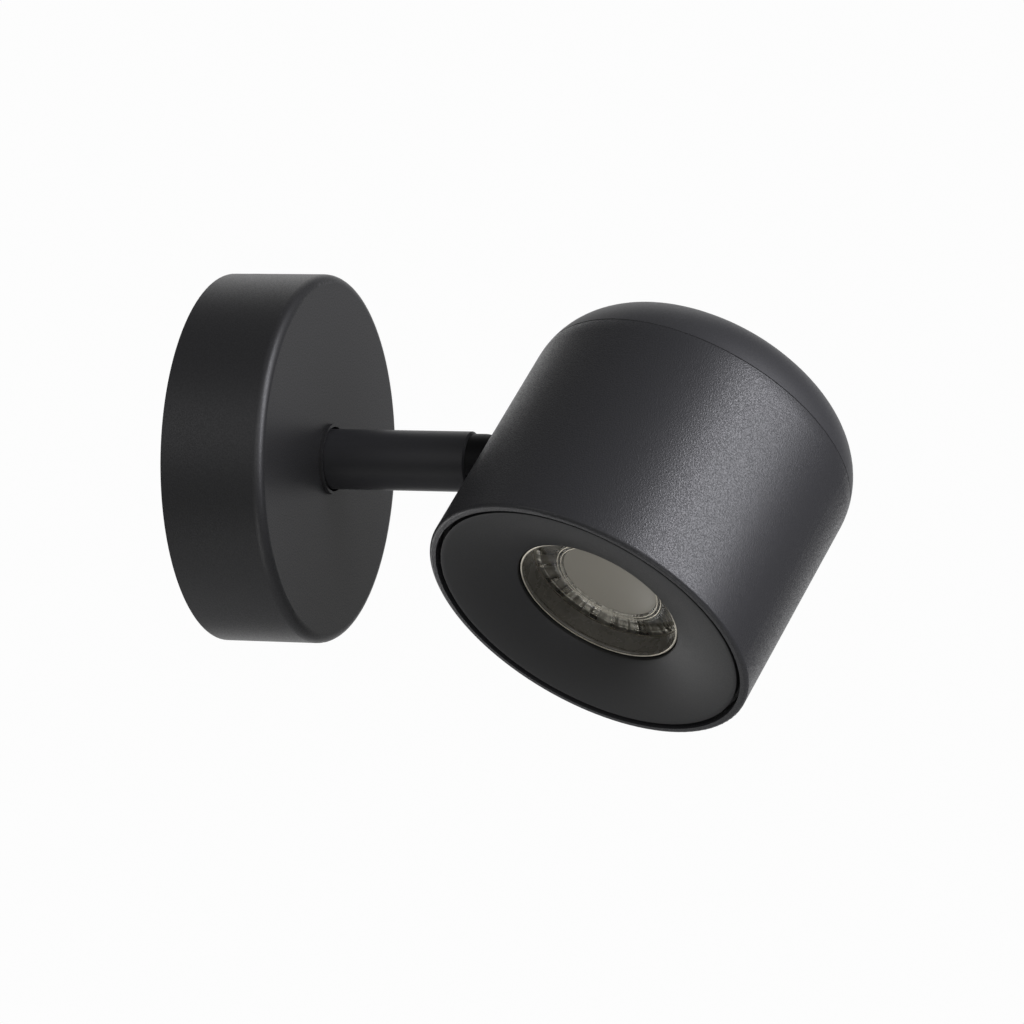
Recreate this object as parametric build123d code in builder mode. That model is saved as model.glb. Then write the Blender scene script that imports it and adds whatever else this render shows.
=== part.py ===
from build123d import *
import os
from math import acos, asin, cos, degrees, radians, sin, sqrt

os.makedirs("parts", exist_ok=True)

# A wall spotlight in millimetres. The wall is the plane y = 0 and the light stands out towards -Y.
# The origin is the centre of the bracket's back face, +Z is up.
# "Reach" is a distance out from the wall, "depth" a distance back from the head's front lip.

# ---------------------------------------------------------------- driving dimensions
canopy_radius = 49.0
canopy_reach = 28.0
canopy_wall = 1.5
canopy_front_fillet = 2.5
canopy_back_fillet = 1.0
lip_radius = 8.6            # inside of the raised lip round the arm
lip_width = 0.8
lip_height = 0.9
lip_root_fillet = 0.6
lip_edge_fillet = 0.3

bracket_gap = 5.5           # between the bracket's rim and the canopy wall
bracket_thickness = 2.0
tab_width = 14.0
tab_reach = 13.0
tab_gap = 0.4               # between a tab's middle and the canopy wall
tab_corner = 3.0
bend_radius = 1.0
wall_screw_spacing = 60.0
wall_slot_width = 4.5
wall_slot_length = 12.0
grub_reach = 8.0
grub_radius = 2.0
grub_length = 5.5
grub_socket = 2.0           # across flats
grub_socket_depth = 2.2
grub_sunk = 0.7             # below the canopy's outer face

grommet_bore = 6.5          # radius
grommet_wall = 2.5
grommet_flange = 2.0
grommet_lip = 1.2

arm_radius = 8.0
arm_bore = 5.5              # radius of the wire way
arm_end_reach = 68.2
arm_end_chamfer = 0.5
spigot_radius = 7.0         # the arm's inner end, which turns in the bearing block
arm_start_reach = 9.5
spigot_flat = 6.2           # from the axis to the flat that keys the stop washer
running_clearance = 0.05
thread_clearance = 0.05

block_thickness = 8.0
block_length = 54.0
block_height = 32.0
stud_spacing = 41.0
stud_radius = 1.5
stud_clearance = 0.15
stud_nut_flats = 5.5
stud_nut_thickness = 2.4
stud_end = 0.8              # past the nut

thrust_washer_thickness = 0.5
thrust_washer_gap = 0.3     # to the inside of the canopy's lip
friction_washer_thickness = 0.8
friction_washer_radius = 12.0
stop_washer_thickness = 1.2
stop_tab_radius = 15.6
stop_tab_width = 2.0
stop_pin_radius = 1.2
stop_pin_orbit = 14.2
stop_pin_length = 2.9       # out of the block
stop_pin_seat = 5.0         # inside the block
arm_nut_flats = 21.0
arm_nut_thickness = 5.0

swivel_rest = 41.9          # degrees from straight down, towards -X
tilt_rest = 14.1            # degrees that the lens leans back to the wall
pivot_past_arm = 4.3        # from the arm's end to the tilt screw
fork_radius = 7.4
fork_plug_length = 12.0
fork_plug_clearance = 0.03
fork_wire_bore = 3.0
fork_nose_radius = 4.5
fork_nose_angle = 60.0      # the nose is round this far each way, then runs back along its tangents
slot_floor_gap = 0.3        # behind the tongue's eye

pivot_radius = 2.0
pivot_head_radius = 3.2
pivot_head_thickness = 1.4
pivot_socket = 2.5
pivot_socket_depth = 1.0
pivot_blind_end = 5.6       # from the swing plane to the end of the screw
pivot_head_seat = 4.9       # from the swing plane to the underside of the screw's head
pad_thickness = 0.5
pad_clearance = 0.08        # on each side of each pad

tongue_thickness = 4.4
tongue_eye_radius = 3.9
tongue_neck_start = 2.6     # from the pivot, where the neck begins to widen
tongue_neck_width = 10.0
stem_radius = 4.0
stem_bore = 2.4
stem_clearance = 0.06
stem_end = 0.8              # past the nut
wire_outlet = 1.0           # how far the stem's bore breaks into the thinner neck
saddle_radius = 7.8
saddle_thickness = 2.0
saddle_clearance = 0.02
stem_nut_flats = 13.0
stem_nut_thickness = 3.5

housing_radius = 45.0
housing_wall = 2.0
housing_lip_fillet = 1.0
housing_lip_inner_fillet = 0.3
housing_straight = 59.8     # depth where the rounding to the dome begins
pivot_depth = 40.2
wall_gap = 4.85             # from the tilt screw to the housing wall
shoulder_radius = 21.0
shoulder_angle = 55.6       # degrees, where the shoulder runs into the dome
seam_rise = 3.3             # from where the rounding begins to the seam
seam_break = 0.35           # bevel of both edges at the seam
web_depth = 29.0
web_thickness = 2.5
web_width = 6.8             # in from the housing wall

cap_spigot_length = 6.0
cap_spigot_thickness = 2.0
cap_spigot_clearance = 0.1
cap_wall = 2.5

baffle_recess = 0.45
baffle_gap = 1.2
baffle_thickness = 2.0
baffle_skirt_depth = 9.0
baffle_skirt_wall = 2.0
baffle_skirt_clearance = 0.1
baffle_dish = 5.75          # how far the aperture lies behind the rim
baffle_rim_angle = 8.0      # degrees, slope of the dish where it leaves the rim
baffle_edge = 3.0           # thickness of the plain edge ahead of the skirt

aperture_radius = 22.6
bezel_sunk = 0.2            # behind the edge of the aperture
bezel_gap = 0.5
bezel_rim_width = 0.5
bezel_bottom_radius = 21.2
bezel_lens_play = 0.1
bezel_wall = 2.1
bezel_collar_gap = 0.4      # behind the baffle
bezel_flange_radius = 30.9
bezel_flange_thickness = 2.6

lens_depth = 12.8
lens_radius = 22.4
lens_flange_thickness = 2.0
lens_cone_radius = 20.0     # where the reflecting side leaves the flange
lens_cone_bulge = 0.9
lens_pocket_radius = 13.5
lens_pocket_depth = 0.8
lens_foot_radius = 11.0
lens_mouth_radius = 8.0
lens_cavity_radius = 7.2    # at its inner end
lens_cavity_height = 4.4
lens_crown = 1.0            # bulge of the cavity's roof towards the LED

sink_depth = 25.0           # front face of the heat sink's base
sink_base_thickness = 4.0
sink_clearance = 0.3
sink_fin_gap = 1.5          # from the fins to the web's opening
sink_fin_height = 28.0
sink_fin_root = 0.1         # how far the fins run into the base
sink_fin_thickness = 1.8
sink_fin_pitch = 6.2
sink_fin_count = 11
sink_wire_hole = 1.5        # radius

led_size = 19.0
led_thickness = 1.3
led_glow_radius = 7.0
led_glow_height = 0.4
pad_film_thickness = 0.2
holder_radius = 19.2
holder_thickness = 2.2
holder_window = 9.7
holder_clearance = 0.15

screw_radius = 1.5          # M3
screw_head_radius = 2.75
screw_head_height = 1.8
screw_hole_clearance = 0.2
screw_socket = 2.0
screw_socket_depth = 1.1
screw_end = 0.4             # left under each screw's tip
blind_hole_floor = 0.2      # left under the blind holes in the heat sink
small_screw_radius = 1.25
small_screw_head_radius = 2.1
small_screw_head_height = 1.3
small_screw_socket = 1.5
small_screw_socket_depth = 0.8
bezel_screw_orbit = 27.8
holder_screw_orbit = 16.6

terminal_width = 30.0
terminal_height = 15.0
terminal_reach = 16.0
terminal_pitch = 9.0
terminal_row_spacing = 8.2
terminal_corner = 1.0
terminal_wire_width = 3.4
terminal_wire_reach = 7.6
terminal_screw_radius = 1.7
terminal_screw_length = 4.0
terminal_screw_sunk = 1.2
terminal_fixing_radius = 1.4
terminal_fixing_head = 2.4
terminal_fixing_head_height = 1.2
driver_slot_width = 0.6     # slots in the heads of the small brass and steel screws
driver_slot_depth = 0.6

driver_width = 38.0
driver_height = 21.0
driver_length = 18.0        # out from the bracket
driver_corner = 2.0
driver_bevel = 1.0
driver_ear = 6.5
driver_ear_thickness = 2.0

earth_x = -26.0
earth_z = 22.0
earth_radius = 2.0
earth_head_radius = 3.5
earth_head_height = 2.4
earth_slot_width = 1.0
earth_slot_depth = 1.2
earth_washer_radius = 4.5
earth_washer_thickness = 0.8
earth_washer_notches = 10
earth_washer_notch = 0.8    # corner radius of each three-sided notch

# ---------------------------------------------------------------- planes and axes
front = (0, -1, 0)
wall_plane = Plane(origin=(0, 0, 0), x_dir=(1, 0, 0), z_dir=front)
arm_profile = Plane(origin=(0, 0, 0), x_dir=(1, 0, 0), z_dir=(0, 0, -1))   # x radius, y reach
arm_axis = Axis((0, 0, 0), front)

pivot_reach = arm_end_reach + pivot_past_arm
pin_direction = (cos(radians(swivel_rest)), 0, -sin(radians(swivel_rest)))
swing_plane = Plane(origin=(0, -pivot_reach, 0), x_dir=front, z_dir=pin_direction)
tilt_angle = radians(tilt_rest)
to_head = swing_plane.x_dir * cos(tilt_angle) + swing_plane.y_dir * sin(tilt_angle)
tilted_plane = Plane(origin=swing_plane.origin, x_dir=to_head, z_dir=pin_direction)   # y to the lens
stop_plane = Plane(origin=(0, 0, 0), x_dir=pin_direction, z_dir=front)
stem_plane = Plane(origin=swing_plane.origin, x_dir=tilted_plane.z_dir, z_dir=tilted_plane.x_dir)

axis_offset = wall_gap + housing_radius
lip_centre = tilted_plane.from_local_coords((axis_offset, pivot_depth, 0))
head_back = -tilted_plane.y_dir
head_plane = Plane(origin=lip_centre, x_dir=tilted_plane.x_dir, z_dir=head_back)
head_profile = Plane(origin=lip_centre, x_dir=tilted_plane.x_dir, z_dir=-tilted_plane.z_dir)
head_axis = Axis(lip_centre, head_back)


def hexagon_radius(flats):
    """Corner radius of a hexagon from its size across flats."""
    return flats / sqrt(3)


def save(builder, name):
    builder.part.label = name
    export_step(builder.part, "parts/" + name + ".step")


def make_washer(plane, inner, outer, thickness):
    """A ring that grows from the plane along its normal."""
    with BuildPart() as ring:
        with BuildSketch(plane):
            Circle(outer)
            Circle(inner, mode=Mode.SUBTRACT)
        extrude(amount=thickness)
    return ring


def make_screws(seat, places, shank, tip, head, head_height, socket, socket_depth):
    """Socket screws on a seat plane whose normal runs from the tips to the heads."""
    with BuildPart() as screws:
        with BuildSketch(seat):
            with Locations(*places):
                Circle(shank)
        extrude(amount=-tip)
        with BuildSketch(seat):
            with Locations(*places):
                Circle(head)
        extrude(amount=head_height)
        with BuildSketch(seat.offset(head_height)):
            with Locations(*places):
                RegularPolygon(hexagon_radius(socket), 6)
        extrude(amount=-socket_depth, mode=Mode.SUBTRACT)
    return screws


def around(orbit, count):
    """Points at equal angles on a circle, the first on the local x axis."""
    return [(orbit * cos(radians(360 * i / count)), orbit * sin(radians(360 * i / count)))
            for i in range(count)]


# ---------------------------------------------------------------- canopy
canopy_inner = canopy_radius - canopy_wall
bracket_radius = canopy_inner - bracket_gap
grub_end = canopy_radius - grub_sunk
bay_centre = (block_height / 2 + grub_end - grub_length) / 2     # midway from block to grub screw
canopy_inner_reach = canopy_reach - canopy_wall
block_back_reach = canopy_inner_reach - block_thickness
stud_end_reach = block_back_reach - stud_nut_thickness - stud_end
lip_outer = lip_radius + lip_width

with BuildPart() as canopy:
    with BuildSketch(arm_profile) as canopy_outline:
        with BuildLine():
            Polyline(
                (lip_radius, canopy_inner_reach),
                (canopy_inner, canopy_inner_reach),
                (canopy_inner, 0),
                (canopy_radius, 0),
                (canopy_radius, canopy_reach),
                (lip_outer, canopy_reach),
                (lip_outer, canopy_reach + lip_height),
                (lip_radius, canopy_reach + lip_height),
                close=True,
            )
        make_face()
        corners = canopy_outline.vertices()
        fillet(corners.sort_by_distance((canopy_radius, canopy_reach))[0], canopy_front_fillet)
        fillet(corners.sort_by_distance((canopy_inner, canopy_inner_reach))[0],
               canopy_front_fillet - canopy_wall)
        fillet(corners.sort_by_distance((canopy_radius, 0))[0], canopy_back_fillet)
        fillet(corners.sort_by_distance((lip_outer, canopy_reach))[0], lip_root_fillet)
        fillet(corners.sort_by_distance((lip_outer, canopy_reach + lip_height))[0], lip_edge_fillet)
    revolve(axis=arm_axis)
    with BuildSketch(wall_plane.offset(stud_end_reach)):
        with GridLocations(stud_spacing, 0, 2, 1):
            Circle(stud_radius)
    extrude(amount=canopy_inner_reach - stud_end_reach)
    with BuildSketch(Plane.XY):
        with Locations((0, -grub_reach)):
            Circle(grub_radius + screw_hole_clearance)
    extrude(amount=canopy_radius + canopy_wall, both=True, mode=Mode.SUBTRACT)
save(canopy, "canopy")

# ---------------------------------------------------------------- wall bracket
tab_face = sqrt((canopy_inner - tab_gap) ** 2 - (tab_width / 2) ** 2)
tab_middle = tab_face - bracket_thickness / 2
driver_hole_spacing = driver_width + driver_ear

with BuildPart() as wall_bracket:
    with BuildSketch(wall_plane):
        Circle(bracket_radius)
        Rectangle(tab_width, 2 * tab_face)
        Circle(grommet_bore + grommet_wall, mode=Mode.SUBTRACT)
        with GridLocations(wall_screw_spacing, 0, 2, 1):
            SlotOverall(wall_slot_length, wall_slot_width, mode=Mode.SUBTRACT)
        with Locations((earth_x, earth_z)):
            Circle(earth_radius + thread_clearance, mode=Mode.SUBTRACT)
        with Locations((0, bay_centre)):
            with GridLocations(terminal_pitch, 0, 2, 1):
                Circle(terminal_fixing_radius + thread_clearance, mode=Mode.SUBTRACT)
        with Locations((0, -bay_centre)):
            with GridLocations(driver_hole_spacing, 0, 2, 1):
                Circle(screw_radius + thread_clearance, mode=Mode.SUBTRACT)
    extrude(amount=bracket_thickness)
    with BuildSketch(wall_plane):
        with GridLocations(0, 2 * tab_middle, 1, 2):
            Rectangle(tab_width, bracket_thickness)
    extrude(amount=tab_reach)
    tab_ends = wall_bracket.edges().filter_by(Axis.Z).group_by(Axis.Y)[0]
    fillet(tab_ends, tab_corner)
    bends = wall_bracket.edges().filter_by(Axis.X).group_by(Axis.Y)[-1].sort_by(Axis.Z)
    fillet([bends[0], bends[-1]], bend_radius)
    with BuildSketch(Plane.XY):
        with Locations((0, -grub_reach)):
            Circle(grub_radius + thread_clearance)
    extrude(amount=canopy_radius, both=True, mode=Mode.SUBTRACT)
save(wall_bracket, "wall_bracket")

grommet_outer = grommet_bore + grommet_wall

with BuildPart() as cable_grommet:
    with BuildSketch(arm_profile):
        with BuildLine():
            Polyline(
                (grommet_bore, 0),
                (grommet_outer, 0),
                (grommet_outer, bracket_thickness),
                (grommet_outer + grommet_flange, bracket_thickness),
                (grommet_outer + grommet_flange, bracket_thickness + grommet_lip),
                (grommet_bore, bracket_thickness + grommet_lip),
                close=True,
            )
        make_face()
    revolve(axis=arm_axis)
save(cable_grommet, "cable_grommet")

with BuildPart() as canopy_grub_screws:
    for direction in (1, -1):
        grub_plane = Plane(origin=(0, -grub_reach, 0), z_dir=(0, 0, direction))
        with BuildSketch(grub_plane.offset(grub_end)):
            Circle(grub_radius)
        extrude(amount=-grub_length)
        with BuildSketch(grub_plane.offset(grub_end)):
            RegularPolygon(hexagon_radius(grub_socket), 6)
        extrude(amount=-grub_socket_depth, mode=Mode.SUBTRACT)
save(canopy_grub_screws, "canopy_grub_screws")

# ---------------------------------------------------------------- swivel bearing
with BuildPart() as bearing_block:
    with BuildSketch(wall_plane.offset(block_back_reach)):
        SlotOverall(block_length, block_height)
        Circle(spigot_radius + running_clearance, mode=Mode.SUBTRACT)
        with GridLocations(stud_spacing, 0, 2, 1):
            Circle(stud_radius + stud_clearance, mode=Mode.SUBTRACT)
    extrude(amount=block_thickness)
    with BuildSketch(wall_plane.offset(block_back_reach)):
        with Locations((0, stop_pin_orbit)):
            Circle(stop_pin_radius)
    extrude(amount=stop_pin_seat, mode=Mode.SUBTRACT)
save(bearing_block, "bearing_block")

with BuildPart() as stop_pin:
    with BuildSketch(wall_plane.offset(block_back_reach + stop_pin_seat)):
        with Locations((0, stop_pin_orbit)):
            Circle(stop_pin_radius)
    extrude(amount=-stop_pin_seat - stop_pin_length)
save(stop_pin, "stop_pin")

with BuildPart() as stud_nuts:
    with BuildSketch(wall_plane.offset(block_back_reach)):
        with GridLocations(stud_spacing, 0, 2, 1):
            RegularPolygon(hexagon_radius(stud_nut_flats), 6)
            Circle(stud_radius + thread_clearance, mode=Mode.SUBTRACT)
    extrude(amount=-stud_nut_thickness)
save(stud_nuts, "stud_nuts")

# ---------------------------------------------------------------- canopy electrics
with BuildPart() as terminal_block:
    with BuildSketch(wall_plane.offset(bracket_thickness)):
        with Locations((0, bay_centre)):
            Rectangle(terminal_width, terminal_height)
    extrude(amount=terminal_reach - bracket_thickness)
    fillet(terminal_block.edges().filter_by(Axis.Y), terminal_corner)
    with BuildSketch(wall_plane.offset(terminal_reach)):
        with Locations((0, bay_centre)):
            with GridLocations(terminal_pitch, terminal_row_spacing, 3, 2):
                Circle(terminal_screw_radius + screw_hole_clearance)
    extrude(amount=terminal_wire_reach - terminal_reach, mode=Mode.SUBTRACT)
    with BuildSketch(wall_plane.offset(terminal_reach)):
        with Locations((0, bay_centre)):
            with GridLocations(terminal_pitch, 0, 2, 1):
                Circle(terminal_fixing_radius + screw_hole_clearance)
    extrude(amount=bracket_thickness - terminal_reach, mode=Mode.SUBTRACT)
    with BuildSketch(Plane.XY.offset(bay_centre)):
        with Locations((0, -terminal_wire_reach)):
            with GridLocations(terminal_pitch, 0, 3, 1):
                Rectangle(terminal_wire_width, terminal_wire_width)
    extrude(amount=terminal_height, both=True, mode=Mode.SUBTRACT)
save(terminal_block, "terminal_block")

terminal_screw_top = terminal_reach - terminal_screw_sunk

with BuildPart() as terminal_screws:
    with BuildSketch(wall_plane.offset(terminal_screw_top)):
        with Locations((0, bay_centre)):
            with GridLocations(terminal_pitch, terminal_row_spacing, 3, 2):
                Circle(terminal_screw_radius)
    extrude(amount=-terminal_screw_length)
    with BuildSketch(wall_plane.offset(terminal_screw_top)):
        with Locations((0, bay_centre)):
            with GridLocations(terminal_pitch, terminal_row_spacing, 3, 2):
                Rectangle(3 * terminal_screw_radius, driver_slot_width)
    extrude(amount=-driver_slot_depth, mode=Mode.SUBTRACT)
save(terminal_screws, "terminal_screws")

terminal_fixing_top = terminal_reach + terminal_fixing_head_height

with BuildPart() as terminal_fixings:
    with BuildSketch(wall_plane.offset(screw_end)):
        with Locations((0, bay_centre)):
            with GridLocations(terminal_pitch, 0, 2, 1):
                Circle(terminal_fixing_radius)
    extrude(amount=terminal_reach - screw_end)
    with BuildSketch(wall_plane.offset(terminal_reach)):
        with Locations((0, bay_centre)):
            with GridLocations(terminal_pitch, 0, 2, 1):
                Circle(terminal_fixing_head)
    extrude(amount=terminal_fixing_head_height)
    with BuildSketch(wall_plane.offset(terminal_fixing_top)):
        with Locations((0, bay_centre)):
            with GridLocations(terminal_pitch, 0, 2, 1):
                Rectangle(3 * terminal_fixing_head, driver_slot_width)
    extrude(amount=-driver_slot_depth, mode=Mode.SUBTRACT)
save(terminal_fixings, "terminal_fixings")

with BuildPart() as led_driver:
    with BuildSketch(wall_plane.offset(bracket_thickness)):
        with Locations((0, -bay_centre)):
            Rectangle(driver_width, driver_height)
    extrude(amount=driver_length)
    fillet(led_driver.edges().filter_by(Axis.Y), driver_corner)
    chamfer(led_driver.faces().sort_by(Axis.Y)[0].edges(), driver_bevel)
    with BuildSketch(wall_plane.offset(bracket_thickness)):
        with Locations((0, -bay_centre)):
            SlotOverall(driver_width + 2 * driver_ear, driver_ear)
            with GridLocations(driver_hole_spacing, 0, 2, 1):
                Circle(screw_radius + screw_hole_clearance, mode=Mode.SUBTRACT)
    extrude(amount=driver_ear_thickness)
save(led_driver, "led_driver")

driver_screw_places = [
    (-driver_hole_spacing / 2, -bay_centre),
    (driver_hole_spacing / 2, -bay_centre),
]
driver_screw_seat = bracket_thickness + driver_ear_thickness
driver_screws = make_screws(
    wall_plane.offset(driver_screw_seat), driver_screw_places, screw_radius,
    driver_screw_seat - screw_end, screw_head_radius, screw_head_height,
    screw_socket, screw_socket_depth)
save(driver_screws, "driver_screws")

earth_seat = bracket_thickness + earth_washer_thickness

with BuildPart() as earth_washer:
    with BuildSketch(wall_plane.offset(bracket_thickness)):
        with Locations((earth_x, earth_z)):
            Circle(earth_washer_radius)
            Circle(earth_radius + screw_hole_clearance, mode=Mode.SUBTRACT)
            with PolarLocations(earth_washer_radius, earth_washer_notches):
                RegularPolygon(earth_washer_notch, 3, mode=Mode.SUBTRACT)
    extrude(amount=earth_washer_thickness)
save(earth_washer, "earth_washer")

with BuildPart() as earth_screw:
    with BuildSketch(wall_plane.offset(screw_end)):
        with Locations((earth_x, earth_z)):
            Circle(earth_radius)
    extrude(amount=earth_seat - screw_end)
    with BuildSketch(wall_plane.offset(earth_seat)):
        with Locations((earth_x, earth_z)):
            Circle(earth_head_radius)
    extrude(amount=earth_head_height)
    with BuildSketch(wall_plane.offset(earth_seat + earth_head_height)):
        with Locations((earth_x, earth_z)):
            Rectangle(3 * earth_head_radius, earth_slot_width)
            Rectangle(earth_slot_width, 3 * earth_head_radius)
    extrude(amount=-earth_slot_depth, mode=Mode.SUBTRACT)
save(earth_screw, "earth_screw")

# ---------------------------------------------------------------- arm and swivel stack
shoulder_reach = canopy_inner_reach + running_clearance + thrust_washer_thickness
friction_reach = block_back_reach - running_clearance - friction_washer_thickness
stop_reach = friction_reach - stop_washer_thickness
washer_bore = spigot_radius + thread_clearance

with BuildPart() as arm_tube:
    with BuildSketch(arm_profile) as arm_outline:
        with BuildLine():
            Polyline(
                (arm_bore, arm_start_reach),
                (spigot_radius, arm_start_reach),
                (spigot_radius, shoulder_reach),
                (arm_radius, shoulder_reach),
                (arm_radius, arm_end_reach),
                (arm_bore, arm_end_reach),
                close=True,
            )
        make_face()
        rims = arm_outline.vertices()
        chamfer(rims.sort_by_distance((arm_radius, arm_end_reach))[0], arm_end_chamfer)
        chamfer(rims.sort_by_distance((spigot_radius, arm_start_reach))[0], arm_end_chamfer)
    revolve(axis=arm_axis)
    with BuildSketch(stop_plane.offset(arm_start_reach)):
        with Locations((0, -spigot_flat - spigot_radius)):
            Rectangle(4 * spigot_radius, 2 * spigot_radius)
    extrude(amount=friction_reach - arm_start_reach, mode=Mode.SUBTRACT)
save(arm_tube, "arm_tube")

thrust_washer = make_washer(
    wall_plane.offset(shoulder_reach - thrust_washer_thickness), washer_bore,
    lip_radius - thrust_washer_gap, thrust_washer_thickness)
save(thrust_washer, "thrust_washer")

friction_washer = make_washer(
    wall_plane.offset(friction_reach), washer_bore, friction_washer_radius,
    friction_washer_thickness)
save(friction_washer, "friction_washer")

key_edge = -spigot_flat - thread_clearance
key_end = -(friction_washer_radius + spigot_radius) / 2

with BuildPart() as stop_washer:
    with BuildSketch(stop_plane.offset(stop_reach)):
        Circle(friction_washer_radius)
        with Locations((0, -stop_tab_radius / 2)):
            Rectangle(stop_tab_width, stop_tab_radius)
        Circle(washer_bore, mode=Mode.SUBTRACT)
        with Locations((0, (key_edge + key_end) / 2)):
            Rectangle(spigot_radius, key_edge - key_end)
    extrude(amount=stop_washer_thickness)
save(stop_washer, "stop_washer")

with BuildPart() as arm_nut:
    with BuildSketch(wall_plane.offset(stop_reach)):
        RegularPolygon(hexagon_radius(arm_nut_flats), 6)
        Circle(washer_bore, mode=Mode.SUBTRACT)
    extrude(amount=-arm_nut_thickness)
save(arm_nut, "arm_nut")

# ---------------------------------------------------------------- knuckle fork
slot_width = tongue_thickness + 2 * (pad_thickness + 2 * pad_clearance)
slot_floor = tongue_eye_radius + slot_floor_gap
nose_angle = radians(fork_nose_angle)
nose_x = fork_nose_radius * cos(nose_angle)
nose_y = fork_nose_radius * sin(nose_angle)
flank_y = fork_radius + fork_nose_radius
flank_x = nose_x - (flank_y - nose_y) * sin(nose_angle) / cos(nose_angle)
fork_back = -fork_plug_length - pivot_past_arm
plug_start_reach = arm_end_reach - fork_plug_length

with BuildPart() as knuckle_fork:
    with BuildSketch(wall_plane.offset(arm_end_reach)):
        Circle(fork_radius)
    extrude(amount=pivot_past_arm + 2 * fork_nose_radius)
    with BuildSketch(swing_plane):
        with BuildLine():
            CenterArc((0, 0), fork_nose_radius, -fork_nose_angle, 2 * fork_nose_angle)
            Polyline(
                (nose_x, nose_y),
                (flank_x, flank_y),
                (fork_back, flank_y),
                (fork_back, -flank_y),
                (flank_x, -flank_y),
                (nose_x, -nose_y),
            )
        make_face()
    extrude(amount=2 * fork_radius, both=True, mode=Mode.INTERSECT)
    with BuildSketch(wall_plane.offset(plug_start_reach)):
        Circle(arm_bore - fork_plug_clearance)
    extrude(amount=fork_plug_length)
    with BuildSketch(wall_plane.offset(plug_start_reach)):
        Circle(fork_wire_bore)
    extrude(amount=fork_plug_length + pivot_past_arm - slot_floor, mode=Mode.SUBTRACT)
    with BuildSketch(swing_plane):
        with Locations((fork_radius - slot_floor, 0)):
            Rectangle(2 * fork_radius, 3 * fork_radius)
    extrude(amount=slot_width / 2, both=True, mode=Mode.SUBTRACT)
    with BuildSketch(swing_plane.offset(-pivot_blind_end - screw_end)):
        Circle(pivot_radius + thread_clearance)
    extrude(amount=pivot_blind_end + screw_end + fork_radius, mode=Mode.SUBTRACT)
    with BuildSketch(swing_plane.offset(pivot_head_seat)):
        Circle(pivot_head_radius + screw_hole_clearance)
    extrude(amount=fork_radius, mode=Mode.SUBTRACT)
save(knuckle_fork, "knuckle_fork")

pivot_screw = make_screws(
    swing_plane.offset(pivot_head_seat), [(0, 0)], pivot_radius, pivot_head_seat + pivot_blind_end,
    pivot_head_radius, pivot_head_thickness, pivot_socket, pivot_socket_depth)
save(pivot_screw, "pivot_screw")

with BuildPart() as knuckle_pads:
    for side in (1, -1):
        with BuildSketch(swing_plane.offset(side * (slot_width / 2 - pad_clearance))):
            Circle(tongue_eye_radius)
            Circle(pivot_radius + thread_clearance, mode=Mode.SUBTRACT)
        extrude(amount=-side * pad_thickness)
save(knuckle_pads, "knuckle_pads")

# ---------------------------------------------------------------- tongue, on the head
housing_inner = housing_radius - housing_wall
saddle_seat = wall_gap + housing_wall + saddle_thickness
stem_tip = saddle_seat + stem_nut_thickness + stem_end

with BuildPart() as head_tongue:
    with BuildSketch(tilted_plane):
        Circle(tongue_eye_radius)
        with BuildLine():
            Polyline(
                (0, tongue_eye_radius),
                (tongue_neck_start, tongue_eye_radius),
                (wall_gap, tongue_neck_width / 2),
                (wall_gap, -tongue_neck_width / 2),
                (tongue_neck_start, -tongue_eye_radius),
                (0, -tongue_eye_radius),
                close=True,
            )
        make_face()
    extrude(amount=tongue_thickness / 2, both=True)
    with BuildSketch(stem_plane.offset(wall_gap)):
        Circle(stem_radius)
    extrude(amount=stem_tip - wall_gap)
    with BuildSketch(stem_plane.offset(wall_gap - wire_outlet)):
        Circle(stem_bore)
    extrude(amount=stem_tip - wall_gap + wire_outlet, mode=Mode.SUBTRACT)
    with BuildSketch(tilted_plane):
        Circle(pivot_radius + running_clearance)
    extrude(amount=tongue_thickness, both=True, mode=Mode.SUBTRACT)
save(head_tongue, "head_tongue")

with BuildPart() as stem_saddle:
    with BuildSketch(stem_plane.offset(wall_gap)):
        Circle(saddle_radius)
        Circle(stem_radius + stem_clearance, mode=Mode.SUBTRACT)
    extrude(amount=saddle_seat - wall_gap)
    with BuildSketch(head_plane):
        Circle(housing_inner - saddle_clearance)
    extrude(amount=2 * pivot_depth, mode=Mode.INTERSECT)
save(stem_saddle, "stem_saddle")

with BuildPart() as stem_nut:
    with BuildSketch(stem_plane.offset(saddle_seat)):
        RegularPolygon(hexagon_radius(stem_nut_flats), 6)
        Circle(stem_radius + thread_clearance, mode=Mode.SUBTRACT)
    extrude(amount=stem_nut_thickness)
save(stem_nut, "stem_nut")

# ---------------------------------------------------------------- head housing and dome
shoulder_centre = (housing_radius - shoulder_radius, housing_straight)
seam_depth = housing_straight + seam_rise
seam_angle = degrees(asin(seam_rise / shoulder_radius))
seam_radius = shoulder_centre[0] + shoulder_radius * cos(radians(seam_angle))
web_opening = housing_inner - web_width
sink_screw_places = around((housing_inner + web_opening) / 2, 3)

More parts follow.
